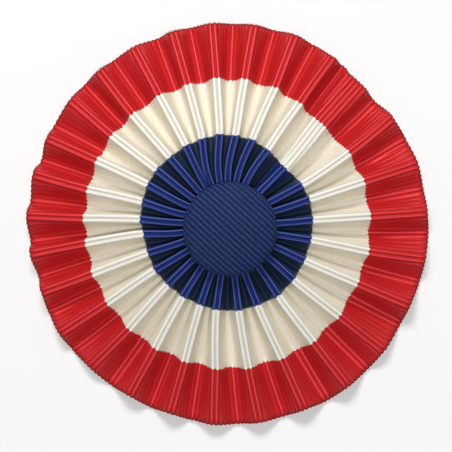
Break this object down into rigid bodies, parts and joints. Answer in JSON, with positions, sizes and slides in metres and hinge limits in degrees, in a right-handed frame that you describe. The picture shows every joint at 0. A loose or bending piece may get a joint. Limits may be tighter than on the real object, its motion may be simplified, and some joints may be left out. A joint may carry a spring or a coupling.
{
  "type": "ribbon cockade",
  "caption": "Round cockade of one striped, ribbed ribbon pleated round a cloth-covered button, with a bar pin on its back.",
  "frame": {"origin": "on the surface that the cockade lies on, below the centre of its disc", "axes": "+Z out of the cockade's face, +Y up and +X right as it is seen from the front and worn"},
  "size_m": [0.0803, 0.0803, 0.0152],
  "materials": {
    "ribbon_cloth": "ribbed ribbon with a satin sheen, woven in three equal stripes: blue at the hub, cream white, red at the rim",
    "button_cloth": "dark blue ribbed cloth, the ribs running slantwise over the button",
    "button_form": "plain pale moulded form",
    "pin_metal": "nickel-plated steel"
  },
  "bodies": {
    "root": {"pleated_ribbon": "ribbon_cloth", "button_cover": "button_cloth", "button_core": "button_form", "pin": "pin_metal"}
  },
  "joints": []
}
